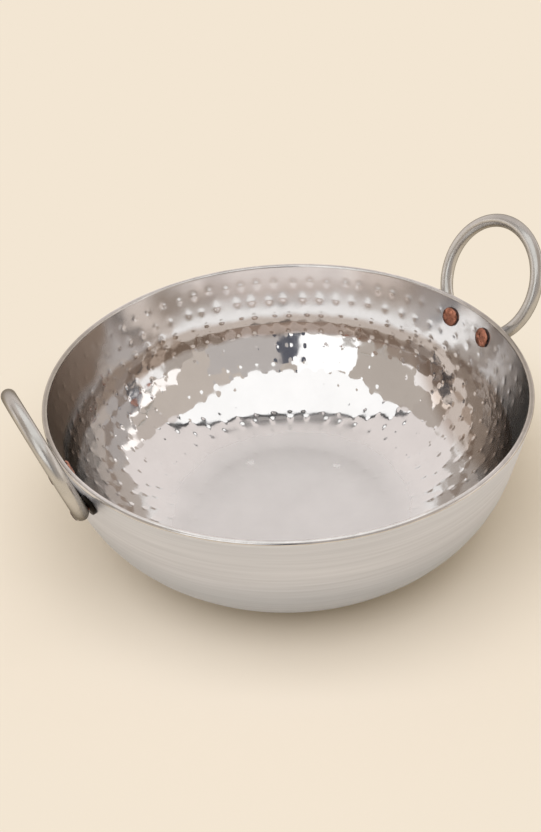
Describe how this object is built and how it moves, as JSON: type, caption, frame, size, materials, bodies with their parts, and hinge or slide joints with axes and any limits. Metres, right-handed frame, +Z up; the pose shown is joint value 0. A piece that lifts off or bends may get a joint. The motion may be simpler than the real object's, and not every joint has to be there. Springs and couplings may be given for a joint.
{
  "type": "kadai",
  "caption": "Round hammered metal kadai with a flat base, a rounded side and upright ring handles riveted to opposite sides.",
  "frame": {"origin": "centre of the flat base, on the surface that the kadai stands on", "axes": "+Z up along the bowl's axis, +X towards the right handle, -X towards the left handle, -Y towards the viewer's side"},
  "size_m": [0.334, 0.2796, 0.1488],
  "materials": {
    "bowl": "mirror polished and hammered inside, satin turned outside",
    "handles": "polished rod",
    "rivets": "copper, satin"
  },
  "bodies": {
    "root": {"bowl": "bowl", "handle_right": "handles", "handle_left": "handles", "rivet_right_front": "rivets", "rivet_right_back": "rivets", "rivet_left_front": "rivets", "rivet_left_back": "rivets"}
  },
  "joints": []
}
